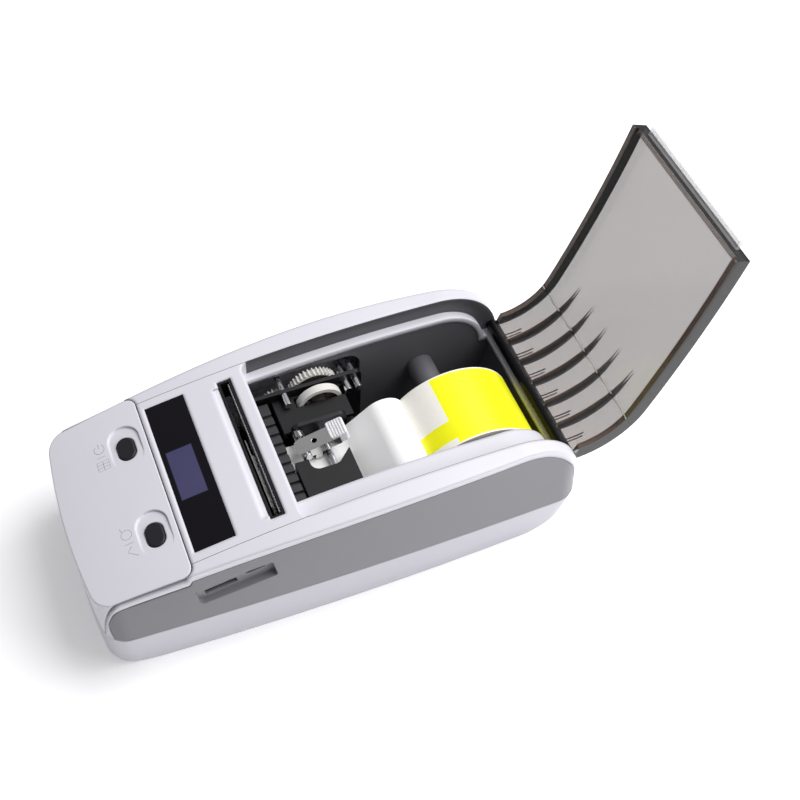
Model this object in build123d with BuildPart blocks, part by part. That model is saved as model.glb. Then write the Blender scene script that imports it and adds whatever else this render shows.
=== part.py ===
"""Portable label printer with a hinged smoked cover, modelled open, as it lies on a table.

Millimetres. +Y runs from the rounded nose to the hinge, +X is the side with the sockets, +Z is up.
The origin is the middle of the underside, on the plane that the printer stands on.
"""
from build123d import *
from math import asin, atan2, cos, degrees, hypot, pi, radians, sin, sqrt
import os

os.makedirs("parts", exist_ok=True)

# Body, seen from the side
nose_y = -86.75
tail_y = 88.0
crown_y = 43.9
crown_z = 59.56
crown_r = 488.0
tail_r = 27.0
tail_under_r = 45.0
tail_foot_r = 12.0
nose_r = 10.0
parting_z = 27.5

# Body, seen from above: half widths at three heights and how far back the widest point lies
foot_half_w = 38.5
waist_half_w = 43.5
top_half_w = 40.8
top_ref_z = 60.0
foot_wide_y = 12.0
waist_wide_y = 25.75
top_wide_y = 20.75
foot_side_r = 1500.0
waist_side_r = 2170.0
top_side_r = 500.0
nose_plan_r = 228.0
tail_plan_r = 900.0
corner_r = 9.0

# Walls and general fits
shell_wall = 2.2
skin_gap = 0.15
slide_gap = 0.3
running_gap = 0.05

# Recess for the lid, the opening in it and the paper slot in front
recess_front_y = -14.25
recess_half_w = 33.54
recess_depth = 6.6
recess_corner_r = 3.0
ledge_wall = 2.0
opening_x_far = -30.0
opening_x_near = 23.3
hinge_sill = 2.8
slot_half_w = 29.5
slot_front_y = -24.1
slot_length = 5.1
bezel_wall = 1.0
bezel_depth = 9.0

# Front cover, buttons and display
cover_seam_y = -52.45
cover_half_w = 37.25
cover_nose_half_w = 34.9
cover_corner_r = 3.5
cover_wall = 1.95
seam_gap = 0.35
lip_width = 1.6
lip_wall = 1.2
button_y = -59.95
button_x = 17.9
button_long = 9.2
button_short = 6.2
button_gap = 0.25
button_proud = 0.7
button_travel = 0.8
button_flange = 1.0
button_flange_wall = 1.0
button_cap_height = 2.9
button_stem_r = 1.6
button_round = 0.6
dish_long = 17.5
dish_short = 11.0
dish_depth = 0.75
dish_tilt = 3.2
dish_shift = -0.6
lens_front_y = -49.9
lens_length = 13.65
lens_half_w = 30.0
lens_thick = 0.9
window_half_x = 10.0
window_length = 9.3
window_front_y = -48.4

# Side panels and the socket dish
panel_thick = 1.2
panel_rim = 2.8
panel_front = 2.0
panel_lower_r = 4.0
panel_land = 0.8
port_front_y = -53.1
port_length = 26.6
port_height = 7.4
port_below_crown = 11.4
port_depth = 1.5
port_floor = 1.0
port_draft = 3.3
wide_socket_y = -44.9
wide_socket_len = 11.0
wide_socket_high = 2.6
wide_socket_lift = -0.3
usb_y = -32.6
usb_len = 6.9
usb_high = 1.9
usb_lift = 1.4
riser_high = 1.95
socket_deep = 5.6
socket_wall = 0.45

# Lid and hinge
hinge_y = 85.4
hinge_z = 38.0
lid_open_deg = 109.0
lid_half_w = 33.2
lid_front_y = -10.4
lid_skin = 2.0
lid_flush = 0.3
lid_flange_wall = 2.0
lid_flange_depth = 6.1
lid_end_depth = 4.4
lid_barrel_r = 2.2
lid_pin_r = 1.0
lid_pin_len = 5.0
lid_pin_in = 2.6
lid_rib_wall = 1.0
lid_rib_pitch = 10.3
lid_rib_count = 5
lid_rib_reach = 4.6
tongue_half_w = 28.0
tongue_reach = 3.3
tongue_wall = 1.4

# Compartment liner
liner_wall = 1.5
liner_gap = 0.1
liner_x_far = -30.5
liner_x_near = 26.8
liner_front_y = -10.0
liner_rear_top = 32.8
cutout_rear_y = 30.25
cutout_top_z = 47.0
cutout_low_z = 15.0
cutout_r = 6.0

# Label roll, its spindle and the paper path
roll_y = 54.75
roll_z = 29.6
roll_r = 25.0
roll_x_far = -6.0
roll_width = 29.0
core_r = 7.2
core_fit = 0.08
spindle_r = 5.2
spindle_wall = 1.6
spindle_end_r = 4.0
spindle_end_len = 1.3
flange_r = 21.5
flange_wall = 1.6
flange_hub = 3.0
flange_travel = 14.0
paper = 0.35
hump_y = 28.9
hump_z = 42.2
hump_r = 8.0
web_flat_z = 38.45
web_turn_r = (6.0, 3.0)
web_exit_z = 50.5

# Print mechanism
platen_y = -12.5
platen_z = 31.5
platen_r = 6.9
platen_half_len = 22.0
platen_core_r = 3.2
platen_shaft_r = 1.5
bush_r = 3.0
bush_wall = 1.6
bush_flange = 0.7
head_length = 8.4
head_half_w = 22.4
head_plate = 1.4
sink_height = 3.6
head_spring_r = 1.2
head_spring_wire = 0.4
head_spring_high = 3.3
head_spring_turns = 4
head_spring_x = 14.7
far_plate_x = -24.6
mid_plate_x = -8.6
near_plate_x = 26.2
plate_wall = 1.5
frame_low_z = 2.25
frame_front_y = -17.6
frame_rear_y = 28.0
frame_top_z = 39.2
far_plate_rise = 7.2
frame_beam = 3.0
cover_plate_y = -6.5
cover_plate_top = 42.8
cover_plate_rear_y = 19.6
cover_plate_wall = 1.6

# Gear train on the far side, all in one plane
gear_module = 0.5
gear_x = -28.6
gear_wide = 2.8
gear_thin = 0.17
platen_teeth = 24
idler_teeth = 20
drive_teeth = 36
reduction_teeth = 28
pinion_teeth = 12
drive_y = 10.5
drive_z = 39.3
drive_shaft_r = 1.5
drive_shaft_far = -31.6
feed_wheel_x = -21.4
feed_wheel_r = 8.6
feed_wheel_wide = 3.0
feed_wheel_rim = 1.6
feed_wheel_hole_r = 1.3
reduction_angle = -60.0
pinion_angle = -150.0
gear_pin_r = 1.2
motor_r = 9.0
motor_length = 13.0
motor_flange = 1.2
motor_ear = 4.0
tie_rod_r = 1.4
tie_rod_places = ((21.4, 43.4), (25.2, 43.4), (-1.6, 45.0))

# Head lever with its knob, roller and spring
lever_y = -2.4
lever_z = 44.0
lever_rise_deg = 14.0
lever_length = 13.0
lever_half_w = 3.1
lever_wall = 0.7
lever_side = 2.4
lever_nose_r = 3.0
lever_lug = 1.8
lever_hole_r = 1.0
lever_pin_r = 1.0
lever_x = 0.2
knob_x = 7.0
knob_y = 6.4
knob_high = 5.0
knob_above = 1.2
knob_shift = -0.6
knob_groove = 0.4
knob_grooves = 5
pinch_y = 2.2
pinch_r = 2.5
pinch_wide = 4.2
pinch_pin_r = 0.7
lever_spring_r = 1.9
lever_spring_wire = 0.45
lever_spring_turns = 5
lever_spring_len = 3.6
rod_y = 6.2
rod_r = 1.3
rod_z = 40.55

# Near guide rail
guide_x = 5.4
guide_scoop_x = 10.4
guide_front_y = -7.6
guide_block = 5.0
guide_rear_y = 12.4
guide_fin = 5.4
guide_scoop_r = 3.0
guide_z = 39.35
guide_high = 5.25

# Electronics and battery
board_y = -50.0
board_drop = 14.0
board_half_w = 34.0
board_length = 46.0
board_wall = 1.4
oled_wide = 26.0
oled_long = 12.6
oled_thick = 2.4
battery_wide = 58.0
battery_long = 34.0
battery_high = 17.0
battery_front_y = -53.0
battery_z = 2.35
battery_r = 4.0

# Fasteners and feet
screw_front_x = 32.2
screw_front_y = -56.0
screw_rear_x = 34.9
screw_rear_y = 56.0
screw_head_r = 2.1
screw_head_high = 1.6
screw_r = 1.3
screw_length = 30.0
screw_sunk = 1.2
boss_r = 2.8
post_rise = 8.0
post_web = 2.0
board_post_y = -30.0
pad_r = 5.0
pad_deep = 1.2
pad_x = 22.0
pad_front_y = -44.0
pad_rear_y = 60.0


def surface_z(y):
    """Height of the top of the body at a place along it."""
    return crown_z - crown_r + sqrt(crown_r**2 - (y - crown_y) ** 2)


def surface_tilt(y):
    """Slope of the top of the body there, in degrees, rising towards the hinge."""
    return degrees(asin((crown_y - y) / crown_r))


def surface_plane(x, y, drop=0.0):
    """A plane that lies on the top of the body at x, y, or the drop below it."""
    tilt = radians(surface_tilt(y))
    plane = Plane((x, y, surface_z(y)), x_dir=(1, 0, 0), z_dir=(0, -sin(tilt), cos(tilt)))
    return plane.offset(-drop)


def inscribed(c1, r1, c2, r2, r, side):
    """Centre of a circle of radius r that touches two larger circles from inside."""
    d1 = r1 - r
    d2 = r2 - r
    dx = c2[0] - c1[0]
    dy = c2[1] - c1[1]
    d = hypot(dx, dy)
    along = (d1**2 - d2**2 + d**2) / (2 * d)
    off = side * sqrt(d1**2 - along**2)
    return (c1[0] + (along * dx - off * dy) / d, c1[1] + (along * dy + off * dx) / d)


def bearing(a, b):
    """Direction from a to b, in degrees."""
    return degrees(atan2(b[1] - a[1], b[0] - a[0]))


def side_arcs(nose=nose_y, tip_r=nose_r):
    """The side view as outward arcs: centre, radius, first and last direction of its normal."""
    crown = (crown_y, crown_z - crown_r)
    tail_cy = tail_y - tail_r
    tail_cz = crown[1] + sqrt((crown_r - tail_r) ** 2 - (tail_cy - crown_y) ** 2)
    tail = (tail_cy, tail_cz)
    under = (tail_y - tail_under_r, tail_cz)
    foot_dz = tail_cz - tail_foot_r
    foot = (under[0] + sqrt((tail_under_r - tail_foot_r) ** 2 - foot_dz**2), tail_foot_r)
    tip_y = nose + tip_r
    tip = (tip_y, crown[1] + sqrt((crown_r - tip_r) ** 2 - (tip_y - crown_y) ** 2))
    chin = (nose + tip[1], tip[1])
    foot_turn = bearing(under, foot)
    tail_turn = bearing(crown, tail)
    nose_turn = bearing(crown, tip)
    return [
        (*foot, tail_foot_r, -90, foot_turn),
        (*under, tail_under_r, foot_turn, 0),
        (*tail, tail_r, 0, tail_turn),
        (*crown, crown_r, tail_turn, nose_turn),
        (*tip, tip_r, nose_turn, 180),
        (*chin, tip[1], 180, 270),
    ]


def plan_arcs(half_w, wide_y, side_r):
    """The view from above at one height, as outward arcs."""
    right = (half_w - side_r, wide_y)
    left = (side_r - half_w, wide_y)
    rear = (0, tail_y - tail_plan_r)
    front = (0, nose_y + nose_plan_r)
    rear_right = inscribed(right, side_r, rear, tail_plan_r, corner_r, 1)
    front_right = inscribed(right, side_r, front, nose_plan_r, corner_r, -1)
    rear_left = (-rear_right[0], rear_right[1])
    front_left = (-front_right[0], front_right[1])
    turn_rr = bearing(right, rear_right)
    turn_r = bearing(rear, rear_right)
    turn_fr = bearing(right, front_right)
    turn_f = bearing(front, front_right)
    return [
        (*right, side_r, turn_fr, turn_rr),
        (*rear_right, corner_r, turn_rr, turn_r),
        (*rear, tail_plan_r, turn_r, 180 - turn_r),
        (*rear_left, corner_r, 180 - turn_r, 180 - turn_rr),
        (*left, side_r, 180 - turn_rr, 180 - turn_fr),
        (*front_left, corner_r, 180 - turn_fr, 180 - turn_f),
        (*front, nose_plan_r, 180 - turn_f, 360 + turn_f),
        (*front_right, corner_r, 360 + turn_f, 360 + turn_fr),
    ]


def outline(arcs, inset=0.0):
    """Face inside outward arcs and the tangent lines between them, moved in all round.
    """
    with BuildSketch() as face:
        with BuildLine():
            ends = []
            for cx, cy, r, first, last in arcs:
                arc = CenterArc((cx, cy), r - inset, first, last - first)
                ends.append((arc @ 0, arc @ 1))
            for (_, end), (start, _) in zip(ends, ends[1:] + ends[:1]):
                if (end - start).length > 1e-4:
                    Line(end, start)
        make_face()
    return face.sketch


def side_prism(inset, x_low, x_high, nose=nose_y, tip_r=nose_r):
    """The side view, moved in all round, as a prism across the body."""
    with BuildPart() as prism:
        with BuildSketch(Plane.YZ.offset(x_low)):
            add(outline(side_arcs(nose, tip_r), inset))
        extrude(amount=x_high - x_low)
    return prism.part


def plan_form(inset):
    """The drafted sides, nose and tail as seen from above."""
    slope = (waist_half_w - foot_half_w) / parting_z
    rise = (top_half_w - waist_half_w) / (top_ref_z - parting_z)
    low, high = -1.0, top_ref_z + 1.0
    with BuildPart() as form:
        with BuildSketch(Plane.XY.offset(low)):
            add(outline(plan_arcs(foot_half_w + slope * low, foot_wide_y, foot_side_r), inset))
        with BuildSketch(Plane.XY.offset(parting_z)):
            add(outline(plan_arcs(waist_half_w, waist_wide_y, waist_side_r), inset))
        with BuildSketch(Plane.XY.offset(high)):
            top_w = waist_half_w + rise * (high - parting_z)
            add(outline(plan_arcs(top_w, top_wide_y, top_side_r), inset))
        loft(ruled=True)
    return form.part


def nose_form(inset):
    """The bulge of the nose: its side view turned about an upright axis far behind it."""
    arcs = side_arcs()
    tip, chin = arcs[4], arcs[5]
    turn = radians(tip[3])
    top = (tip[0] + (tip[2] - inset) * cos(turn), tip[1] + (tip[2] - inset) * sin(turn))
    run = 2 * (recess_front_y - nose_y)
    back = (top[0] + run * sin(turn), top[1] - run * cos(turn))
    axis_y = nose_y + nose_plan_r
    low, high = -5.0, back[1] + 10.0
    with BuildPart() as form:
        with BuildSketch(Plane.YZ):
            with BuildLine():
                under = CenterArc(chin[:2], chin[2] - inset, 180, 90)
                over = CenterArc(tip[:2], tip[2] - inset, 180, tip[3] - 180)
                Polyline(over @ 1, back, (back[0], high), (axis_y - 1, high))
                Polyline((axis_y - 1, high), (axis_y - 1, low), ((under @ 1).X, low), under @ 1)
            make_face()
        revolve(axis=Axis((0, axis_y, 0), (0, 0, 1)))
    return form.part


def body_form(inset, side_inset=None):
    """The whole outer form of the printer, moved in by a wall."""
    half = waist_half_w + 5.0
    with BuildPart() as form:
        add(side_prism(inset, -half, half, nose_y - nose_r))
        add(nose_form(inset), mode=Mode.INTERSECT)
        add(plan_form(inset if side_inset is None else side_inset), mode=Mode.INTERSECT)
    return form.part


def plan_block(x_far, x_near, y_front, y_rear, z_low, z_high, r=0.0, front_r=None):
    """An upright block with rounded corners at its rear and, where asked, at its front."""
    with BuildPart() as block:
        with BuildSketch(Plane.XY.offset(z_low)) as plan:
            with Locations(((x_far + x_near) / 2, (y_front + y_rear) / 2)):
                Rectangle(x_near - x_far, y_rear - y_front)
            if r > 0:
                fillet(plan.vertices().sort_by(Axis.Y)[-2:], r)
            if front_r:
                fillet(plan.vertices().sort_by(Axis.Y)[:2], front_r)
        extrude(amount=z_high - z_low)
    return block.part


def bar(y, z, r, x_low, x_high, bore=0.0):
    """A round bar or tube that lies across the printer."""
    with BuildPart() as piece:
        with BuildSketch(Plane.YZ.offset(x_low)):
            with Locations((y, z)):
                Circle(r)
                if bore:
                    Circle(bore, mode=Mode.SUBTRACT)
        extrude(amount=x_high - x_low)
    return piece.part


def left_over(kept, *cuts):
    """What is left of a solid after cuts."""
    with BuildPart() as rest:
        add(kept)
        for cut in cuts:
            add(cut, mode=Mode.SUBTRACT)
    return rest.part


def shared(first, *others):
    """What several solids have in common."""
    with BuildPart() as both:
        add(first)
        for other in others:
            add(other, mode=Mode.INTERSECT)
    return both.part


top_z = crown_z + 5.0
wide = waist_half_w + 5.0
outer = body_form(0)
inner = body_form(shell_wall)
tail_centre_z = side_arcs()[2][1]
sill_z = hinge_z - hinge_sill
ledge_under = recess_depth + ledge_wall


# Base shell: the pale lower tray, with its screw bosses and shallow seats for the pads
screw_places = [(side * x, y) for side in (-1, 1)
                for x, y in ((screw_front_x, screw_front_y), (screw_rear_x, screw_rear_y))]
pad_places = [(x, y) for x in (-pad_x, pad_x) for y in (pad_front_y, pad_rear_y)]
boss_top = parting_z - skin_gap
with BuildPart() as base_shell:
    add(outer)
    split(bisect_by=Plane.XY.offset(parting_z), keep=Keep.BOTTOM)
    add(inner, mode=Mode.SUBTRACT)
    with BuildSketch(Plane.XY.offset(shell_wall)):
        with Locations(*screw_places):
            Circle(boss_r)
    extrude(amount=boss_top - shell_wall)
    add(outer, mode=Mode.INTERSECT)
    with BuildSketch():
        with Locations(*screw_places):
            Circle(screw_head_r + skin_gap)
    extrude(amount=screw_sunk + screw_head_high, mode=Mode.SUBTRACT)
    with BuildSketch():
        with Locations(*screw_places):
            Circle(screw_r + running_gap)
    extrude(amount=boss_top, mode=Mode.SUBTRACT)
    with BuildSketch():
        with Locations(*pad_places):
            Circle(pad_r + skin_gap)
    extrude(amount=pad_deep, mode=Mode.SUBTRACT)
base_shell.part.label = "base_shell"
export_step(base_shell.part, "parts/base_shell.step")


with BuildPart() as case_screws:
    with BuildSketch(Plane.XY.offset(screw_sunk)):
        with Locations(*screw_places):
            Circle(screw_head_r)
    extrude(amount=screw_head_high)
    with BuildSketch(Plane.XY.offset(screw_sunk + screw_head_high)):
        with Locations(*screw_places):
            Circle(screw_r)
    extrude(amount=screw_length)
    with BuildSketch(Plane.XY.offset(screw_sunk)):
        with Locations(*screw_places):
            Rectangle(screw_head_r, screw_head_r / 5)
            Rectangle(screw_head_r / 5, screw_head_r)
    extrude(amount=screw_head_high / 2, mode=Mode.SUBTRACT)
case_screws.part.label = "case_screws"
export_step(case_screws.part, "parts/case_screws.step")


with BuildPart() as rubber_pads:
    with BuildSketch():
        with Locations(*pad_places):
            Circle(pad_r)
    extrude(amount=pad_deep)
rubber_pads.part.label = "rubber_pads"
export_step(rubber_pads.part, "parts/rubber_pads.step")


# Top shell: crown, lid recess with its ledges, paper slot, panel and cover seats
panel_low = parting_z + skin_gap


def panel_prism(side, gap, x_in):
    """The side panel's outline, moved in by a gap, as a prism from inside the wall outwards."""
    x_out = wide
    lower = parting_z - 1 if gap < 0 else panel_low
    with BuildPart() as prism:
        with BuildSketch(Plane.YZ.offset(x_in)) as face:
            add(outline(side_arcs(nose_y + panel_front), panel_rim + gap))
            with Locations((0, lower - top_z / 2)):
                Rectangle(4 * tail_y, top_z, mode=Mode.SUBTRACT)
            corners = face.vertices().sort_by(Axis.Y)[:2]
            fillet(corners.sort_by(Axis.X)[-1], panel_lower_r)
        extrude(amount=x_out - x_in)
    if side < 0:
        return mirror(prism.part, about=Plane.YZ)
    return prism.part


def cover_plan(grow, r=cover_corner_r):
    """The front cover's tapered outline, grown all round, as an upright prism."""
    with BuildPart() as prism:
        with BuildSketch() as face:
            with BuildLine():
                rear_w, nose_w = cover_half_w + grow, cover_nose_half_w + grow
                rear_y = cover_seam_y + grow
                Polyline((rear_w, rear_y), (nose_w, nose_y), (nose_w, nose_y - nose_r),
                         (-nose_w, nose_y - nose_r), (-nose_w, nose_y), (-rear_w, rear_y), close=True)
            make_face()
            if r > 0:
                fillet(face.vertices().sort_by(Axis.Y)[-2:], r)
        extrude(amount=top_z)
    return prism.part


panel_back = body_form(0, panel_thick)
cover_prism = cover_plan(0)
cover_hole = cover_plan(seam_gap)
cover_lip = cover_plan(-lip_width)
cover_under = body_form(cover_wall)
lip_top = body_form(cover_wall + skin_gap)
lip_low = body_form(cover_wall + skin_gap + lip_wall)

cover_seat = cover_plan(lip_width, 0)
panel_stop = cover_plan(seam_gap + panel_land)
recess_air = plan_block(-recess_half_w, recess_half_w, recess_front_y, tail_y + 5, sill_z, top_z, 0,
                        recess_corner_r)
opening_air = plan_block(opening_x_far, opening_x_near, recess_front_y, hinge_y - hinge_sill,
                         parting_z - 1, top_z)
slot_rear_y = slot_front_y + slot_length

recess_floor = side_prism(recess_depth, -wide, wide)
recess_cut = left_over(recess_air, recess_floor)
ledge_block = plan_block(-recess_half_w - ledge_wall, recess_half_w + ledge_wall, recess_front_y - ledge_wall,
                         tail_y + 5, sill_z - ledge_wall, top_z)
ledge_mass = left_over(shared(ledge_block, outer), side_prism(ledge_under, -wide, wide))

lens_place = (lens_front_y, lens_front_y + lens_length)
lens_seat = plan_block(-lens_half_w - seam_gap / 2, lens_half_w + seam_gap / 2, lens_place[0] - seam_gap / 2,
                       lens_place[1] + seam_gap / 2, parting_z, top_z)
lens_floor = side_prism(lens_thick, -wide, wide)
window_rear_y = window_front_y + window_length
window_air = plan_block(-window_half_x, window_half_x, window_front_y, window_rear_y, parting_z, top_z)

port_y = port_front_y + port_length / 2
port_plane_z = surface_z(port_y) - port_below_crown
port_tilt = surface_tilt(port_y)


def port_plane(x):
    """A plane on the near side, turned so that its width runs along the crown."""
    tilt = radians(port_tilt)
    return Plane((x, port_y, port_plane_z), x_dir=(0, cos(tilt), sin(tilt)), z_dir=(1, 0, 0))


side_at_port = waist_half_w - port_draft
port_floor_x = side_at_port - port_depth
socket_face_x = port_floor_x - port_floor


def port_prism(grow, x_low):
    """The socket dish's outline, grown by a wall, from a plane outwards."""
    with BuildPart() as prism:
        with BuildSketch(port_plane(x_low)):
            RectangleRounded(port_length + 2 * grow, port_height + 2 * grow, 1.0 + grow)
        extrude(amount=wide - x_low)
    return prism.part


panel_x = waist_half_w / 2
panels = [left_over(shared(panel_prism(side, 0, panel_x), outer), panel_stop) for side in (-1, 1)]
seats = [left_over(panel_prism(side, -seam_gap / 2, panel_x), panel_back, panel_stop) for side in (-1, 1)]
lip_ring = left_over(shared(cover_seat, lip_top), lip_low, cover_lip)
slot_air = plan_block(-slot_half_w, slot_half_w, slot_front_y, slot_rear_y, parting_z, top_z)
slot_wall = plan_block(-slot_half_w - ledge_wall, slot_half_w + ledge_wall, slot_front_y - ledge_wall,
                       slot_rear_y + ledge_wall, crown_z - crown_z / 3, top_z)
lip_cut = plan_block(-slot_half_w + 2.5, slot_half_w - 1.5, slot_front_y - 2.0, slot_front_y, parting_z, top_z)
lip_slope = left_over(lip_cut, side_prism(0.7, -wide, wide))
pin_far_x = recess_half_w + lid_pin_len - lid_pin_in

board_top = surface_plane(0, board_y, board_drop)
over_board = board_top.offset(-board_wall - running_gap)
half_wall = body_form(shell_wall / 2)


def post(x, y, z_high):
    """A post on the parting plane, tied to the side wall by a web."""
    side = 1 if x > 0 else -1
    ends = sorted((x, side * wide))
    with BuildPart() as piece:
        with BuildSketch(Plane.XY.offset(panel_low)):
            with Locations((x, y)):
                Circle(boss_r)
        extrude(amount=z_high - panel_low)
        add(plan_block(*ends, y - post_web / 2, y + post_web / 2, panel_low, z_high))
        add(half_wall, mode=Mode.INTERSECT)
        with BuildSketch(over_board):
            Rectangle(2 * wide, 2 * board_length)
        extrude(amount=top_z, mode=Mode.SUBTRACT)
    return piece.part


posts = [post(side * screw_front_x, screw_front_y, top_z) for side in (-1, 1)]
posts += [post(side * screw_front_x, board_post_y, top_z) for side in (-1, 1)]
posts += [post(side * screw_rear_x, screw_rear_y, panel_low + post_rise) for side in (-1, 1)]

with BuildPart() as top_shell:
    add(outer)
    split(bisect_by=Plane.XY.offset(parting_z), keep=Keep.TOP)
    add(inner, mode=Mode.SUBTRACT)
    for piece in posts:
        add(piece)
    add(ledge_mass)
    add(recess_cut, mode=Mode.SUBTRACT)
    add(opening_air, mode=Mode.SUBTRACT)
    for seat in seats:
        add(seat, mode=Mode.SUBTRACT)
    add(left_over(cover_hole, lip_top), mode=Mode.SUBTRACT)
    add(shared(cover_hole, inner), mode=Mode.SUBTRACT)
    add(shared(cover_lip, outer), mode=Mode.SUBTRACT)
    add(left_over(lip_ring, plan_block(-wide, wide, nose_y - nose_r, tail_y, 0, parting_z + skin_gap)))
    add(left_over(lens_seat, lens_floor), mode=Mode.SUBTRACT)
    add(window_air, mode=Mode.SUBTRACT)
    add(slot_air, mode=Mode.SUBTRACT)
    add(lip_slope, mode=Mode.SUBTRACT)
    add(port_prism(port_floor + skin_gap, socket_face_x - port_floor / 2), mode=Mode.SUBTRACT)
    add(bar(hinge_y, hinge_z, lid_pin_r + running_gap, -pin_far_x, pin_far_x), mode=Mode.SUBTRACT)
    with BuildSketch(Plane.XY.offset(parting_z)):
        with Locations(*screw_places):
            Circle(screw_r)
    extrude(amount=screw_sunk + screw_head_high + screw_length + skin_gap - parting_z, mode=Mode.SUBTRACT)
top_shell.part.label = "top_shell"
export_step(top_shell.part, "parts/top_shell.step")


# Side panels: darker strips let into the flanks, the near one with the socket dish
with BuildPart() as left_side_panel:
    add(panels[0])
    add(panel_back, mode=Mode.SUBTRACT)
left_side_panel.part.label = "left_side_panel"
export_step(left_side_panel.part, "parts/left_side_panel.step")


with BuildPart() as right_side_panel:
    add(left_over(panels[1], panel_back))
    add(left_over(shared(port_prism(port_floor, socket_face_x), outer), cover_hole))
    add(port_prism(0, port_floor_x), mode=Mode.SUBTRACT)
    with BuildSketch(port_plane(socket_face_x - 1)):
        with Locations((wide_socket_y - port_y, wide_socket_lift)):
            Rectangle(wide_socket_len, wide_socket_high)
        with Locations((usb_y - port_y, usb_lift)):
            SlotOverall(usb_len, usb_high)
    extrude(amount=port_floor + 2, mode=Mode.SUBTRACT)
right_side_panel.part.label = "right_side_panel"
export_step(right_side_panel.part, "parts/right_side_panel.step")


# Front cover: the piece over the nose, with a pill dish and a hole for each button
button_places = [(side, side * button_x) for side in (-1, 1)]
dish_deep = dish_long * sin(radians(dish_tilt))
with BuildPart() as front_cover:
    add(outer)
    split(bisect_by=Plane.XY.offset(parting_z + skin_gap), keep=Keep.TOP)
    add(cover_under, mode=Mode.SUBTRACT)
    add(cover_prism, mode=Mode.INTERSECT)
    for _, x in button_places:
        seat = surface_plane(x + dish_shift, button_y).rotated((0, -dish_tilt, 0))
        with BuildSketch(seat.offset(-dish_depth / 2)):
            SlotOverall(dish_long, dish_short)
        extrude(amount=2 * cover_wall, mode=Mode.SUBTRACT)
        with BuildSketch(surface_plane(x, button_y, 2 * cover_wall)):
            SlotOverall(button_long + 2 * button_gap, button_short + 2 * button_gap)
        extrude(amount=3 * cover_wall, mode=Mode.SUBTRACT)
front_cover.part.label = "front_cover"
export_step(front_cover.part, "parts/front_cover.step")


def button_cap(x):
    """A pill-shaped cap with the flange that keeps it under the cover, and its stem."""
    face = surface_plane(x, button_y, dish_depth / 2 - button_proud)
    under = surface_plane(x, button_y, cover_wall + slide_gap)
    rise = cover_wall + slide_gap - dish_depth / 2 + button_proud
    with BuildPart() as cap:
        with BuildSketch(under):
            SlotOverall(button_long, button_short)
        extrude(amount=rise)
        fillet(cap.faces().sort_by(Axis(face.origin, face.z_dir))[-1].edges(), button_round)
        with BuildSketch(under):
            SlotOverall(button_long + 2 * button_flange, button_short + 2 * button_flange)
        extrude(amount=-button_flange_wall)
        with BuildSketch(under.offset(-button_flange_wall)):
            Circle(button_stem_r)
        extrude(amount=-button_cap_height)
    return cap.part


caps = [button_cap(x) for _, x in button_places]
for cap, name in zip(caps, ("power_button", "query_button")):
    with BuildPart() as button:
        add(cap)
    button.part.label = name
    export_step(button.part, f"parts/{name}.step")


# Display: the black glossy strip in the crown and the small screen behind its window
with BuildPart() as display_lens:
    add(plan_block(-lens_half_w, lens_half_w, *lens_place, parting_z, top_z))
    add(outer, mode=Mode.INTERSECT)
    add(side_prism(lens_thick - running_gap, -wide, wide), mode=Mode.SUBTRACT)
display_lens.part.label = "display_lens"
export_step(display_lens.part, "parts/display_lens.step")

oled_y = window_front_y + window_length / 2
with BuildPart() as oled_module:
    with BuildSketch(surface_plane(0, oled_y, shell_wall + skin_gap)):
        Rectangle(oled_wide, oled_long)
    extrude(amount=-oled_thick / 2)
    with BuildSketch(surface_plane(0, oled_y, shell_wall + skin_gap + oled_thick / 2)):
        Rectangle(oled_wide + 2, oled_long + 2)
    extrude(amount=-oled_thick / 2)
oled_module.part.label = "oled_module"
export_step(oled_module.part, "parts/oled_module.step")


# Slot bezel and tear blade, between the cover's bar and the display
bezel_low = side_prism(bezel_depth, -wide, wide)
slot_outer = plan_block(-slot_half_w + seam_gap / 2, slot_half_w - seam_gap / 2, slot_front_y + seam_gap / 2,
                        slot_rear_y - seam_gap / 2, parting_z, top_z)
slot_inner = plan_block(-slot_half_w + bezel_wall, slot_half_w - bezel_wall, slot_front_y + bezel_wall,
                        slot_rear_y - bezel_wall, 0, top_z)
with BuildPart() as slot_bezel:
    add(shared(slot_outer, side_prism(0.4, -wide, wide)))
    add(bezel_low, mode=Mode.SUBTRACT)
    add(slot_inner, mode=Mode.SUBTRACT)
slot_bezel.part.label = "slot_bezel"
export_step(slot_bezel.part, "parts/slot_bezel.step")

blade_wall = 0.5
blade_high = 5.0
blade_teeth = 48
blade_half = slot_half_w - bezel_wall - 0.5
blade_y = slot_rear_y - bezel_wall - running_gap - blade_wall
blade_top = surface_z(blade_y) - 0.6
tooth = 2 * blade_half / blade_teeth
with BuildPart() as tear_blade:
    with BuildSketch(Plane.XZ.offset(-blade_y - blade_wall)):
        with BuildLine():
            points = [(-blade_half, blade_top - blade_high)]
            for i in range(blade_teeth):
                points.append((-blade_half + i * tooth, blade_top - tooth / 2))
                points.append((-blade_half + (i + 0.5) * tooth, blade_top))
            points.append((blade_half, blade_top - tooth / 2))
            points.append((blade_half, blade_top - blade_high))
            Polyline(*points, close=True)
        make_face()
    extrude(amount=blade_wall)
tear_blade.part.label = "tear_blade"
export_step(tear_blade.part, "parts/tear_blade.step")


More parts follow.
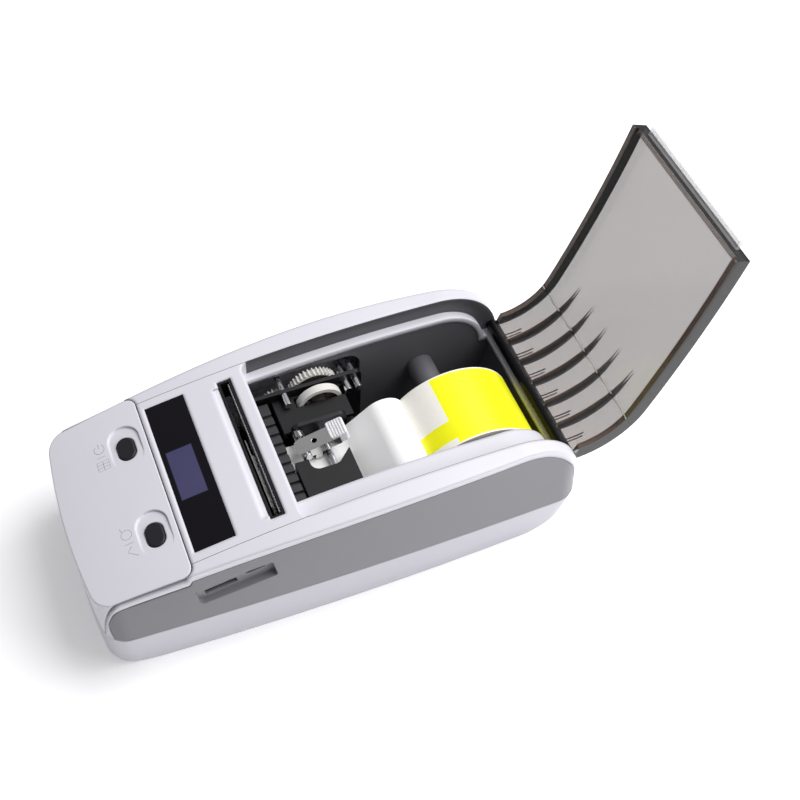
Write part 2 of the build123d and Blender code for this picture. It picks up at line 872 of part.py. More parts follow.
# Lid: smoked skin that continues the crown, with side flanges, a front wall, ribs and a hinge barrel
hinge_axis = Axis((0, hinge_y, hinge_z), (1, 0, 0))
lid_low = hinge_z + lid_barrel_r - lid_flush
lid_block = plan_block(-lid_half_w, lid_half_w, lid_front_y, tail_y + 5, lid_low, top_z)
lid_room = plan_block(-lid_half_w + lid_flange_wall, lid_half_w - lid_flange_wall, lid_front_y - 5,
                      tail_y + 5, 0, top_z)
lid_inside = side_prism(lid_flush + lid_skin, -wide, wide)
lid_rim = shared(lid_block, lid_inside)
flange_low = side_prism(lid_flush + lid_flange_depth, -wide, wide)
end_wall = plan_block(-lid_half_w, lid_half_w, lid_front_y, lid_front_y + lid_flange_wall, lid_low, top_z)
rib_mid = radians(42.0)
rib_inner_r = tail_r - lid_flush - lid_skin
rib_shift = 15.0
rib_cut_r = rib_inner_r + rib_shift - lid_rib_reach
rib_centre = (tail_y - tail_r - rib_shift * cos(rib_mid), tail_centre_z - rib_shift * sin(rib_mid))
rib_block = plan_block(-lid_rib_wall / 2, lid_rib_wall / 2, roll_y, tail_y + 5, hinge_z, top_z)
rib = left_over(shared(rib_block, lid_inside), bar(*rib_centre, rib_cut_r, -wide, wide))
barrel_half = lid_half_w - skin_gap

with BuildPart() as lid:
    add(left_over(lid_block, lid_inside))
    add(side_prism(lid_flush, -wide, wide), mode=Mode.INTERSECT)
    add(left_over(lid_rim, flange_low, lid_room))
    add(left_over(shared(end_wall, lid_inside), side_prism(lid_flush + lid_end_depth, -wide, wide)))
    with Locations(*[((i - (lid_rib_count - 1) / 2) * lid_rib_pitch, 0, 0) for i in range(lid_rib_count)]):
        add(rib)
    add(bar(hinge_y, hinge_z, lid_barrel_r, -barrel_half, barrel_half))
    for side in (-1, 1):
        ends = sorted((side * (barrel_half + 1), side * (barrel_half - lid_pin_in - 0.5)))
        add(bar(hinge_y, hinge_z, lid_pin_r + running_gap, *ends), mode=Mode.SUBTRACT)
lid_open = lid.part.rotate(hinge_axis, -lid_open_deg)
lid_open.label = "lid"
export_step(lid_open, "parts/lid.step")

with BuildPart() as lid_tongue:
    add(plan_block(-tongue_half_w, tongue_half_w, lid_front_y - tongue_reach,
                   lid_front_y - running_gap, hinge_z, top_z))
    add(side_prism(lid_flush + 1.2, -wide, wide), mode=Mode.INTERSECT)
    add(side_prism(lid_flush + 1.2 + tongue_wall, -wide, wide), mode=Mode.SUBTRACT)
tongue_open = lid_tongue.part.rotate(hinge_axis, -lid_open_deg)
tongue_open.label = "lid_tongue"
export_step(tongue_open, "parts/lid_tongue.step")

with BuildPart() as hinge_pins:
    for side in (-1, 1):
        ends = sorted((side * (barrel_half - lid_pin_in), side * (pin_far_x - 0.3)))
        add(bar(hinge_y, hinge_z, lid_pin_r, *ends))
hinge_pins.part.label = "hinge_pins"
export_step(hinge_pins.part, "parts/hinge_pins.step")


# Compartment liner: the dark tub that the roll drops into, cut out at the gears
liner_low = shell_wall + liner_gap
deep_nose = (nose_y - crown_z / 2, crown_z / 2)
liner_block = plan_block(liner_x_far - liner_wall, liner_x_near + liner_wall, liner_front_y, tail_y, 0, top_z)
liner_air = plan_block(liner_x_far, liner_x_near, liner_front_y - 1, tail_y, 0, top_z)
under_ledge = side_prism(ledge_under + liner_gap, -wide, wide, *deep_nose)
with BuildPart() as compartment_liner:
    add(shared(liner_block, body_form(liner_low)))
    add(shared(liner_air, side_prism(liner_low + liner_wall, -wide, wide)), mode=Mode.SUBTRACT)
    add(left_over(plan_block(-wide, wide, liner_front_y, tail_y, liner_rear_top, top_z), under_ledge),
        mode=Mode.SUBTRACT)
    add(plan_block(liner_x_far, liner_x_near, liner_front_y, tail_y, liner_rear_top, top_z),
        mode=Mode.SUBTRACT)
    with BuildSketch(Plane.YZ.offset(liner_x_far - 2 * liner_wall)) as window:
        with Locations(((liner_front_y - 2 + cutout_rear_y) / 2, (cutout_low_z + cutout_top_z) / 2)):
            Rectangle(cutout_rear_y - liner_front_y + 2, cutout_top_z - cutout_low_z)
        fillet(window.vertices().group_by(Axis.X)[-1], cutout_r)
    extrude(amount=3 * liner_wall, mode=Mode.SUBTRACT)
    add(plan_block(liner_x_far, liner_x_near, liner_front_y - 1, frame_rear_y + slide_gap, 0,
                   liner_low + liner_wall + liner_gap), mode=Mode.SUBTRACT)
compartment_liner.part.label = "compartment_liner"
export_step(compartment_liner.part, "parts/compartment_liner.step")


# Label roll with its cardboard core, on a spindle with a sliding guide
roll_x_near = roll_x_far + roll_width
core_bore = spindle_r + core_fit
with BuildPart() as label_roll:
    add(bar(roll_y, roll_z, roll_r, roll_x_far, roll_x_near, core_r))
label_roll.part.label = "label_roll"
export_step(label_roll.part, "parts/label_roll.step")

with BuildPart() as roll_core:
    add(bar(roll_y, roll_z, core_r, roll_x_far, roll_x_near, core_bore))
roll_core.part.label = "roll_core"
export_step(roll_core.part, "parts/roll_core.step")

with BuildPart() as roll_spindle:
    add(bar(roll_y, roll_z, spindle_r, liner_x_far + 0.1, liner_x_near - 0.1, spindle_r - spindle_wall))
roll_spindle.part.label = "roll_spindle"
export_step(roll_spindle.part, "parts/roll_spindle.step")

flange_x = roll_x_far - slide_gap - flange_wall
with BuildPart() as roll_guide:
    add(bar(roll_y, roll_z, flange_r, flange_x, flange_x + flange_wall, spindle_r + running_gap))
    add(bar(roll_y, roll_z, spindle_r + flange_wall, flange_x - flange_hub, flange_x, spindle_r + running_gap))
    with BuildSketch(Plane.YZ.offset(flange_x)):
        with Locations((roll_y, roll_z)):
            with PolarLocations((flange_r + spindle_r) / 2, 6):
                SlotOverall(flange_r / 3, flange_r / 5)
    extrude(amount=flange_wall, mode=Mode.SUBTRACT)
roll_guide.part.label = "roll_guide"
export_step(roll_guide.part, "parts/roll_guide.step")


# Label web: off the roll in a hump, flat under the rod and the head, and up to the slot
hump_first, hump_last = 30.0, 130.0
hump_rad = radians(hump_last)
hump_end = (hump_y + hump_r * cos(hump_rad), hump_z + hump_r * sin(hump_rad))
fall = (-sin(hump_rad), cos(hump_rad))
run_out = (web_flat_z + paper / 2 - hump_end[1]) / fall[1]
dip_y = hump_end[0] + fall[0] * run_out
exit_y = slot_front_y + slot_length / 2
web_start_x = roll_x_far + paper
with BuildPart() as label_web:
    with BuildSketch(Plane.YZ.offset(web_start_x)):
        with BuildLine():
            hump = CenterArc((hump_y, hump_z), hump_r, hump_first, hump_last - hump_first)
            FilletPolyline(hump @ 1, (dip_y, web_flat_z + paper / 2),
                           (exit_y + 2.0, web_flat_z + paper / 2), (exit_y, web_exit_z), radius=list(web_turn_r))
        trace(line_width=paper)
    extrude(amount=roll_width - 2 * paper)
label_web.part.label = "label_web"
export_step(label_web.part, "parts/label_web.step")


# Gear train: motor pinion, reduction gear, drive gear, idler and platen gear in one plane
def pitch_r(teeth):
    """Pitch radius of a gear."""
    return gear_module * teeth / 2


def on_bearing(centre, angle, distance):
    """A point at a distance in a direction."""
    return (centre[0] + distance * cos(radians(angle)), centre[1] + distance * sin(radians(angle)))


def meshed(turn, teeth, mate_teeth, line):
    """Turn of the next gear so that its gap takes this gear's tooth on the line of centres."""
    ahead = (turn - line) * pitch_r(teeth)
    half_pitch = 180 * gear_module / 2
    return line + 180 - (ahead + half_pitch) / pitch_r(mate_teeth)


drive_at = (drive_y, drive_z)
platen_at = (platen_y, platen_z)
idler_at = inscribed(drive_at, pitch_r(drive_teeth) + 2 * pitch_r(idler_teeth), platen_at,
                     pitch_r(platen_teeth) + 2 * pitch_r(idler_teeth), pitch_r(idler_teeth), -1)
reduction_at = on_bearing(drive_at, reduction_angle, pitch_r(drive_teeth) + pitch_r(reduction_teeth))
pinion_at = on_bearing(reduction_at, pinion_angle, pitch_r(reduction_teeth) + pitch_r(pinion_teeth))
platen_turn = 0.0
idler_turn = meshed(platen_turn, platen_teeth, idler_teeth, bearing(platen_at, idler_at))
drive_turn = meshed(idler_turn, idler_teeth, drive_teeth, bearing(idler_at, drive_at))
reduction_turn = meshed(drive_turn, drive_teeth, reduction_teeth, bearing(drive_at, reduction_at))
pinion_turn = meshed(reduction_turn, reduction_teeth, pinion_teeth, bearing(reduction_at, pinion_at))


# Mechanism chassis: three upright plates tied together, standing on the base
far_plate = (far_plate_x, far_plate_x + plate_wall)
mid_plate = (mid_plate_x, mid_plate_x + plate_wall)
near_plate = (near_plate_x - plate_wall, near_plate_x)
shaft_hole = platen_shaft_r + running_gap


def plate(x_pair, top, front=frame_front_y, rear=frame_rear_y):
    """One upright plate of the chassis, with rounded upper corners."""
    with BuildPart() as piece:
        with BuildSketch(Plane.YZ.offset(x_pair[0])) as face:
            with Locations(((front + rear) / 2, (frame_low_z + top) / 2)):
                Rectangle(rear - front, top - frame_low_z)
            fillet(face.vertices().sort_by(Axis.Y)[-2:], 2.5)
        extrude(amount=x_pair[1] - x_pair[0])
    return piece.part


with BuildPart() as mechanism_frame:
    add(plate(far_plate, drive_z + far_plate_rise))
    add(plate(mid_plate, lever_z + 3.0, platen_y + platen_r + 1.5, pinch_y + 14.0))
    add(plate(near_plate, frame_top_z, frame_front_y, frame_rear_y))
    add(plan_block(far_plate[0], near_plate[1], frame_front_y, frame_rear_y, frame_low_z,
                   frame_low_z + plate_wall))
    add(plan_block(far_plate[0], near_plate[1], frame_rear_y - plate_wall, frame_rear_y, frame_low_z,
                   frame_low_z + frame_beam))
    add(plan_block(far_plate[0], near_plate[1], frame_front_y, frame_front_y + plate_wall, frame_low_z,
                   platen_z - platen_r - 1))
    for y, z, r in ((platen_y, platen_z, bush_r + running_gap), (drive_y, drive_z, drive_shaft_r + running_gap),
                    (*pinion_at, gear_pin_r + 1.0), *[(y, z, tie_rod_r) for y, z in tie_rod_places]):
        add(bar(y, z, r, far_plate[0] - 1, far_plate[1] + 1), mode=Mode.SUBTRACT)
    add(bar(platen_y, platen_z, bush_r + running_gap, near_plate[0] - 1, near_plate[1] + 1),
        mode=Mode.SUBTRACT)
    add(bar(lever_y, lever_z, lever_pin_r, mid_plate[0] - 1, mid_plate[1] + 1), mode=Mode.SUBTRACT)
    add(bar(rod_y, rod_z, rod_r, mid_plate[0] - 1, mid_plate[1] + 1), mode=Mode.SUBTRACT)
mechanism_frame.part.label = "mechanism_frame"
export_step(mechanism_frame.part, "parts/mechanism_frame.step")

cover_x = (far_plate[1] + running_gap, mid_plate[0] - running_gap)
wheel_room = 2 * slide_gap
with BuildPart() as cover_plate:
    add(plan_block(*cover_x, cover_plate_y, cover_plate_rear_y, cover_plate_top - cover_plate_wall,
                   cover_plate_top))
    add(plan_block(*cover_x, cover_plate_y, cover_plate_y + plate_wall, web_flat_z, cover_plate_top))
    add(plan_block(feed_wheel_x - wheel_room, feed_wheel_x + feed_wheel_wide + wheel_room,
                   drive_y - feed_wheel_r - wheel_room, cover_plate_rear_y + 1, web_flat_z, top_z),
        mode=Mode.SUBTRACT)
cover_plate.part.label = "cover_plate"
export_step(cover_plate.part, "parts/cover_plate.step")

with BuildPart() as tie_rods:
    for y, z in tie_rod_places:
        add(bar(y, z, tie_rod_r, drive_shaft_far, far_plate[1] + 5))
tie_rods.part.label = "tie_rods"
export_step(tie_rods.part, "parts/tie_rods.step")

with BuildPart() as guide_rod:
    add(bar(rod_y, rod_z, rod_r, mid_plate[0], liner_x_near - 0.1))
guide_rod.part.label = "guide_rod"
export_step(guide_rod.part, "parts/guide_rod.step")


# Print head: ceramic plate under an aluminium heat sink, pressed down by two springs
head_rear_y = platen_y + head_length / 2
with BuildPart() as print_head:
    add(plan_block(-head_half_w, head_half_w, head_rear_y - head_length, head_rear_y,
                   web_flat_z + paper + 0.1, web_flat_z + paper + 0.1 + head_plate))
print_head.part.label = "print_head"
export_step(print_head.part, "parts/print_head.step")

sink_z = web_flat_z + paper + 0.1 + head_plate
with BuildPart() as heat_sink:
    add(plan_block(-head_half_w, head_half_w, head_rear_y - head_length, head_rear_y, sink_z, sink_z + sink_height))
    with BuildSketch(Plane.XY.offset(sink_z + sink_height)):
        with GridLocations(head_length / 2, 1, 9, 1):
            with Locations((0, head_rear_y - head_length / 2)):
                Rectangle(head_plate, head_length)
    extrude(amount=-sink_height / 3, mode=Mode.SUBTRACT)
heat_sink.part.label = "heat_sink"
export_step(heat_sink.part, "parts/heat_sink.step")


# Platen: rubber roller on a steel shaft that runs in two bushes
with BuildPart() as platen_roller:
    add(bar(platen_y, platen_z, platen_r, -platen_half_len, platen_half_len, platen_shaft_r))
platen_roller.part.label = "platen_roller"
export_step(platen_roller.part, "parts/platen_roller.step")

with BuildPart() as platen_shaft:
    add(bar(platen_y, platen_z, platen_shaft_r, gear_x - 0.4, near_plate[1] + 0.4))
platen_shaft.part.label = "platen_shaft"
export_step(platen_shaft.part, "parts/platen_shaft.step")

with BuildPart() as platen_bushes:
    for pair, side in ((far_plate, 1), (near_plate, -1)):
        inner_face = pair[1] if side > 0 else pair[0]
        ends = sorted((inner_face, inner_face + side * bush_flange))
        add(bar(platen_y, platen_z, bush_r, *pair, platen_shaft_r + running_gap))
        add(bar(platen_y, platen_z, bush_r + 1, *ends, platen_shaft_r + running_gap))
platen_bushes.part.label = "platen_bushes"
export_step(platen_bushes.part, "parts/platen_bushes.step")


# Gears
def spur_gear(centre, teeth, turn, bore, x=gear_x, width=gear_wide):
    """A spur gear across the printer, with one tooth pointing along turn."""
    r = pitch_r(teeth)
    root = r - 1.25 * gear_module
    tip = r + 0.9 * gear_module
    half = gear_module * pi / 4 - gear_thin / 2
    with BuildPart() as gear:
        with BuildSketch(Plane.YZ.offset(x)):
            with Locations(centre):
                Circle(root + 0.02)
                with PolarLocations(0, teeth, start_angle=turn):
                    Polygon((root - 0.1, -half * 1.45), (r, -half), (tip, -half * 0.5),
                            (tip, half * 0.5), (r, half), (root - 0.1, half * 1.45), align=None)
                Circle(bore, mode=Mode.SUBTRACT)
        extrude(amount=width)
    return gear.part


gears = {
    "platen_gear": (platen_at, platen_teeth, platen_turn, platen_shaft_r),
    "idler_gear": (idler_at, idler_teeth, idler_turn, gear_pin_r + running_gap),
    "drive_gear": (drive_at, drive_teeth, drive_turn, drive_shaft_r),
    "reduction_gear": (reduction_at, reduction_teeth, reduction_turn, gear_pin_r + running_gap),
    "motor_pinion": (pinion_at, pinion_teeth, pinion_turn, gear_pin_r),
}
for name, (centre, teeth, turn, bore) in gears.items():
    with BuildPart() as gear:
        add(spur_gear(centre, teeth, turn, bore))
    gear.part.label = name
    export_step(gear.part, f"parts/{name}.step")

with BuildPart() as gear_pins:
    for centre in (idler_at, reduction_at):
        add(bar(*centre, gear_pin_r, gear_x - 0.3, far_plate[0]))
        add(bar(*centre, gear_pin_r + 0.8, gear_x - 0.9, gear_x - 0.3))
gear_pins.part.label = "gear_pins"
export_step(gear_pins.part, "parts/gear_pins.step")

with BuildPart() as drive_shaft:
    add(bar(*drive_at, drive_shaft_r, drive_shaft_far, feed_wheel_x + feed_wheel_wide + 1.0))
drive_shaft.part.label = "drive_shaft"
export_step(drive_shaft.part, "parts/drive_shaft.step")

with BuildPart() as feed_wheel:
    wheel = (feed_wheel_x, feed_wheel_x + feed_wheel_wide)
    disc = (wheel[0] + feed_wheel_wide / 3, wheel[1] - feed_wheel_wide / 3)
    add(bar(*drive_at, feed_wheel_r, *wheel, feed_wheel_r - feed_wheel_rim))
    add(bar(*drive_at, feed_wheel_r - feed_wheel_rim / 2, *disc, drive_shaft_r))
    add(bar(*drive_at, drive_shaft_r + feed_wheel_rim, *wheel, drive_shaft_r))
    with BuildSketch(Plane.YZ.offset(feed_wheel_x)):
        with Locations(drive_at):
            with PolarLocations((feed_wheel_r + drive_shaft_r) / 2, 5):
                Circle(feed_wheel_hole_r)
    extrude(amount=feed_wheel_wide, mode=Mode.SUBTRACT)
feed_wheel.part.label = "feed_wheel"
export_step(feed_wheel.part, "parts/feed_wheel.step")

motor_x = far_plate[1]
with BuildPart() as stepper_motor:
    add(bar(*pinion_at, motor_r, motor_x + motor_flange, motor_x + motor_length))
    with BuildSketch(Plane.YZ.offset(motor_x)):
        with Locations(pinion_at):
            SlotCenterToCenter(2 * (motor_r + motor_ear / 2), 2 * motor_ear)
            Circle(motor_r)
            with GridLocations(2 * (motor_r + motor_ear / 2), 1, 2, 1):
                Circle(1.1, mode=Mode.SUBTRACT)
    extrude(amount=motor_flange)
stepper_motor.part.label = "stepper_motor"
export_step(stepper_motor.part, "parts/stepper_motor.step")

with BuildPart() as motor_shaft:
    add(bar(*pinion_at, gear_pin_r, gear_x - 0.3, motor_x))
motor_shaft.part.label = "motor_shaft"
export_step(motor_shaft.part, "parts/motor_shaft.step")


# Head lever: a folded steel arm on a pin, with a knob at its end, a roller and a return spring
lever_tilt = radians(lever_rise_deg)
lever_plane = Plane((lever_x, lever_y, lever_z), x_dir=(1, 0, 0), z_dir=(0, -sin(lever_tilt), cos(lever_tilt)))
lever_low, lever_high = lever_x - lever_half_w, lever_x + lever_half_w
lever_top_plane = lever_plane.offset(lever_side / 2)
pinch_z = web_flat_z + paper + pinch_r + running_gap
with BuildPart() as head_lever:
    with BuildSketch(lever_top_plane):
        with Locations((0, (lever_length - lever_nose_r) / 2)):
            Rectangle(2 * lever_half_w, lever_length + lever_nose_r)
        with Locations((0, lever_length / 3)):
            Circle(lever_hole_r, mode=Mode.SUBTRACT)
    extrude(amount=lever_wall)
    fillet(head_lever.edges().filter_by(Axis(lever_plane.origin, lever_plane.z_dir)).sort_by(Axis.Y)[:2], 2.4)
    for x in (-lever_half_w, lever_half_w - lever_wall):
        with BuildSketch(lever_top_plane):
            with Locations((x + lever_wall / 2, (lever_length - lever_lug) / 2)):
                Rectangle(lever_wall, lever_length + lever_lug)
        extrude(amount=-lever_side - lever_pin_r)
    for x in (lever_low, lever_high - lever_wall):
        with BuildSketch(Plane.YZ.offset(x)):
            with Locations((pinch_y, (pinch_z + lever_z) / 2)):
                Rectangle(pinch_r, lever_z - pinch_z + pinch_r)
        extrude(amount=lever_wall)
    add(bar(pinch_y, pinch_z, pinch_pin_r, lever_low - 1, lever_high + 1), mode=Mode.SUBTRACT)
    add(bar(lever_y, lever_z, lever_pin_r + running_gap, lever_low - 1, lever_high + 1), mode=Mode.SUBTRACT)
head_lever.part.label = "head_lever"
export_step(head_lever.part, "parts/head_lever.step")

with BuildPart() as lever_pin:
    add(bar(lever_y, lever_z, lever_pin_r, mid_plate[0], lever_high + 0.5))
    add(bar(lever_y, lever_z, lever_pin_r + 0.7, lever_high + 0.5, lever_high + 1.2))
lever_pin.part.label = "lever_pin"
export_step(lever_pin.part, "parts/lever_pin.step")

knob_top = lever_top_plane.offset(lever_wall + knob_above)
knob_middle = (knob_shift, lever_length)
with BuildPart() as lever_knob:
    with BuildSketch(knob_top):
        with Locations(knob_middle):
            RectangleRounded(knob_x, knob_y, 1.0)
    extrude(amount=-knob_high)
    fillet(lever_knob.faces().sort_by(Axis(knob_top.origin, knob_top.z_dir))[-1].edges(), 0.5)
    with BuildSketch(knob_top):
        with Locations(knob_middle):
            with GridLocations(1, (knob_y - 1.4) / knob_grooves, 1, knob_grooves):
                Rectangle(knob_x, knob_groove)
    extrude(amount=-knob_groove, mode=Mode.SUBTRACT)
    add(head_lever.part, mode=Mode.SUBTRACT)
lever_knob.part.label = "lever_knob"
export_step(lever_knob.part, "parts/lever_knob.step")

with BuildPart() as pinch_roller:
    add(bar(pinch_y, pinch_z, pinch_r, lever_x - pinch_wide / 2, lever_x + pinch_wide / 2,
            pinch_pin_r + running_gap))
pinch_roller.part.label = "pinch_roller"
export_step(pinch_roller.part, "parts/pinch_roller.step")

with BuildPart() as pinch_pin:
    add(bar(pinch_y, pinch_z, pinch_pin_r, lever_low, lever_high))
pinch_pin.part.label = "pinch_pin"
export_step(pinch_pin.part, "parts/pinch_pin.step")


def coil(plane, r, wire, turns, length):
    """An open coil spring standing on a plane."""
    with BuildPart() as spring:
        with BuildLine() as path:
            Helix(pitch=(length - wire) / turns, height=length - wire, radius=r - wire / 2,
                  center=(0, 0, wire / 2))
        with BuildSketch(Plane(path.line @ 0, z_dir=path.line % 0)):
            RegularPolygon(wire / 2, 6)
        sweep(is_frenet=True)
    return spring.part.moved(plane.location)


with BuildPart() as lever_spring:
    add(coil(Plane((mid_plate[1] + 0.2, lever_y, lever_z), z_dir=(1, 0, 0)), lever_spring_r, lever_spring_wire,
             lever_spring_turns, lever_spring_len - 0.4))
lever_spring.part.label = "lever_spring"
export_step(lever_spring.part, "parts/lever_spring.step")

with BuildPart() as head_springs:
    for x in (-head_spring_x, head_spring_x):
        foot = Plane((x, recess_front_y - ledge_wall / 2, sink_z + sink_height + running_gap))
        add(coil(foot, head_spring_r, head_spring_wire, head_spring_turns, head_spring_high))
head_springs.part.label = "head_springs"
export_step(head_springs.part, "parts/head_springs.step")


# Guide rail at the near edge of the labels
with BuildPart() as label_guide:
    with BuildSketch(Plane.XY.offset(guide_z)) as face:
        with BuildLine():
            scoop_front_y = guide_front_y + guide_block
            scoop_rear_y = guide_rear_y - guide_fin
            Polyline((guide_x, guide_front_y), (guide_x, scoop_front_y), (guide_scoop_x, scoop_front_y),
                     (guide_scoop_x, scoop_rear_y), (guide_x, guide_rear_y),
                     (liner_x_near - liner_gap, guide_rear_y), (liner_x_near - liner_gap, guide_front_y), close=True)
        make_face()
        fillet([v for v in face.vertices() if abs(v.X - guide_scoop_x) < liner_gap], guide_scoop_r)
    extrude(amount=guide_high)
    add(bar(rod_y, rod_z, rod_r + running_gap, guide_x, liner_x_near), mode=Mode.SUBTRACT)
label_guide.part.label = "label_guide"
export_step(label_guide.part, "parts/label_guide.step")


# Electronics: one board under the crown with its sockets and switches, and the battery below
with BuildPart() as main_board:
    with BuildSketch(board_top):
        RectangleRounded(2 * board_half_w, board_length, 2.0)
    extrude(amount=-board_wall)
main_board.part.label = "main_board"
export_step(main_board.part, "parts/main_board.step")


def socket(place, length, high, lift, wall):
    """A metal socket shell that opens towards the near side."""
    centre = port_plane(socket_face_x - skin_gap).offset(-socket_deep)
    with BuildPart() as shell:
        with BuildSketch(centre):
            with Locations((place - port_y, lift)):
                RectangleRounded(length + 2 * wall, high + 2 * wall, 0.5)
        extrude(amount=socket_deep)
        with BuildSketch(centre.offset(wall)):
            with Locations((place - port_y, lift)):
                Rectangle(length, high)
                Rectangle(length * 0.7, high * 0.3, mode=Mode.SUBTRACT)
        extrude(amount=socket_deep, mode=Mode.SUBTRACT)
    return shell.part


with BuildPart() as wide_socket:
    add(socket(wide_socket_y, wide_socket_len, wide_socket_high, wide_socket_lift, socket_wall))
wide_socket.part.label = "wide_socket"
export_step(wide_socket.part, "parts/wide_socket.step")

with BuildPart() as usb_socket:
    add(socket(usb_y, usb_len, usb_high, usb_lift, socket_wall))
    with BuildSketch(port_plane(socket_face_x - skin_gap)):
        with Locations((usb_y - port_y, usb_lift - usb_high / 2 - socket_wall - riser_high / 2)):
            Rectangle(usb_len, riser_high)
    extrude(amount=-socket_deep)
usb_socket.part.label = "usb_socket"
export_step(usb_socket.part, "parts/usb_socket.step")

switch_base = 6.0
switch_high = 5.4
with BuildPart() as tact_switches:
    for _, x in button_places:
        under = surface_plane(x, button_y, cover_wall + slide_gap + button_flange_wall + button_cap_height
                              + button_travel + slide_gap)
        with BuildSketch(under):
            Circle(button_stem_r)
        extrude(amount=-1.0)
        with BuildSketch(under.offset(-1.0)):
            Rectangle(switch_base, switch_base)
        extrude(amount=-switch_high)
tact_switches.part.label = "tact_switches"
export_step(tact_switches.part, "parts/tact_switches.step")

with BuildPart() as battery_pack:
    add(plan_block(-battery_wide / 2, battery_wide / 2, battery_front_y, battery_front_y + battery_long,
                   battery_z, battery_z + battery_high, battery_r, battery_r))
battery_pack.part.label = "battery_pack"
export_step(battery_pack.part, "parts/battery_pack.step")
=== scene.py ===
"""Looks for the portable label printer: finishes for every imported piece, and what only shows in a picture.

Metres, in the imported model's frame: +Y from the nose to the hinge, +X the side with the sockets, +Z up.
"""
import math

import bmesh
import bpy
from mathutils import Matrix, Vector


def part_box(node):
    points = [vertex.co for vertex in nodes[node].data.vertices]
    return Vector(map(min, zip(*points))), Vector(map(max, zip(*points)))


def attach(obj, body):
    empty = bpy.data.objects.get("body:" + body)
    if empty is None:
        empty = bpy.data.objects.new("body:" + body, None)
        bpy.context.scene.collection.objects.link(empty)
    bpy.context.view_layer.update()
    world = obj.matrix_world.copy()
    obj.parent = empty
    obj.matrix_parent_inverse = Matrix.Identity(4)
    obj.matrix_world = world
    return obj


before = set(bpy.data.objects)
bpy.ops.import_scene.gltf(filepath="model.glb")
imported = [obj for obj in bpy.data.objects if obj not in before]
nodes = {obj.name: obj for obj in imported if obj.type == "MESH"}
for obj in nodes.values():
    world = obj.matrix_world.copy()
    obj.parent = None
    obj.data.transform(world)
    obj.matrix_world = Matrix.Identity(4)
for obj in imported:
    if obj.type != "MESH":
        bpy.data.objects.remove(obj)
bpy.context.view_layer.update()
mm = 0.001


# Base shell: the pale lower tray of moulded plastic that the whole printer stands on.
# Its finish is spark-eroded in the mould, so it has a fine grain and soft edges.
class Tone:
    """A number that varies over a surface. Arithmetic on tones adds its own nodes."""

    def __init__(self, finish, socket):
        self.finish = finish
        self.socket = socket

    def maths(self, operation, first, second):
        return self.finish.maths(operation, first, second)

    def __add__(self, other):
        return self.maths("ADD", self, other)

    def __radd__(self, other):
        return self.maths("ADD", other, self)

    def __sub__(self, other):
        return self.maths("SUBTRACT", self, other)

    def __rsub__(self, other):
        return self.maths("SUBTRACT", other, self)

    def __mul__(self, other):
        return self.maths("MULTIPLY", self, other)

    def __rmul__(self, other):
        return self.maths("MULTIPLY", other, self)

    def __truediv__(self, other):
        return self.maths("DIVIDE", self, other)

    def __gt__(self, other):
        return self.maths("GREATER_THAN", self, other)

    def __lt__(self, other):
        return self.maths("LESS_THAN", self, other)

    def __abs__(self):
        return self.maths("ABSOLUTE", self, 0.0)


class Finish:
    """A material under construction: its shader, and one method that adds any node."""

    def __init__(self, name, slot, **constants):
        self.slot = slot
        self.material = bpy.data.materials.new(name)
        self.material.use_nodes = True
        self.tree = self.material.node_tree
        self.shader = self.tree.nodes["Principled BSDF"]
        for socket, value in constants.items():
            self.feed(socket.replace("_", " "), value)

    def node(self, kind, settings=None, inputs=None, output=0):
        """Any node, its settings first and then its sockets; gives back one output."""
        made = self.tree.nodes.new(kind)
        for setting, value in (settings or {}).items():
            setattr(made, setting, value)
        for socket, value in (inputs or {}).items():
            self.join(value, made.inputs[socket])
        return Tone(self, made.outputs[output])

    def join(self, value, socket):
        if isinstance(value, Tone):
            self.tree.links.new(value.socket, socket)
        elif isinstance(value, tuple) and len(value) == 3 and len(socket.default_value) == 4:
            socket.default_value = (*value, 1.0)
        else:
            socket.default_value = value

    def feed(self, socket, value):
        self.join(value, self.shader.inputs[socket])

    def maths(self, operation, first, second=0.0, clamp=False):
        """Any maths node by its name, for what the signs on tones can't say."""
        settings = {"operation": operation, "use_clamp": clamp}
        return self.node("ShaderNodeMath", settings, {0: first, 1: second})

    def either(self, first, second):
        """The larger of two tones: of two masks, where either one holds."""
        return self.maths("MAXIMUM", first, second)

    def mix(self, factor, first, second):
        """A colour between two colours."""
        return self.node("ShaderNodeMix", {"data_type": "RGBA"}, {0: factor, 6: first, 7: second}, 2)

    def place(self):
        """Where a point lies on the piece, as three tones in metres."""
        at = self.node("ShaderNodeTexCoord", output="Object")
        split = self.node("ShaderNodeSeparateXYZ", None, {0: at}).socket.node
        return at, [Tone(self, split.outputs[i]) for i in range(3)]

    def noise(self, at, scale, detail=2.0):
        return self.node("ShaderNodeTexNoise", None, {"Vector": at, "Scale": scale, "Detail": detail})

    def relief(self, height, depth, soft_edge):
        """Feeds the normal with a relief on edges that are slightly rounded."""
        rounded = self.node("ShaderNodeBevel", {"samples": 8}, {"Radius": soft_edge})
        bump = self.node("ShaderNodeBump", None,
                         {"Strength": 0.5, "Distance": depth, "Height": height, "Normal": rounded})
        self.feed("Normal", bump)


flow_marks = (22.0, 4.0)
grain_scale = 1900.0


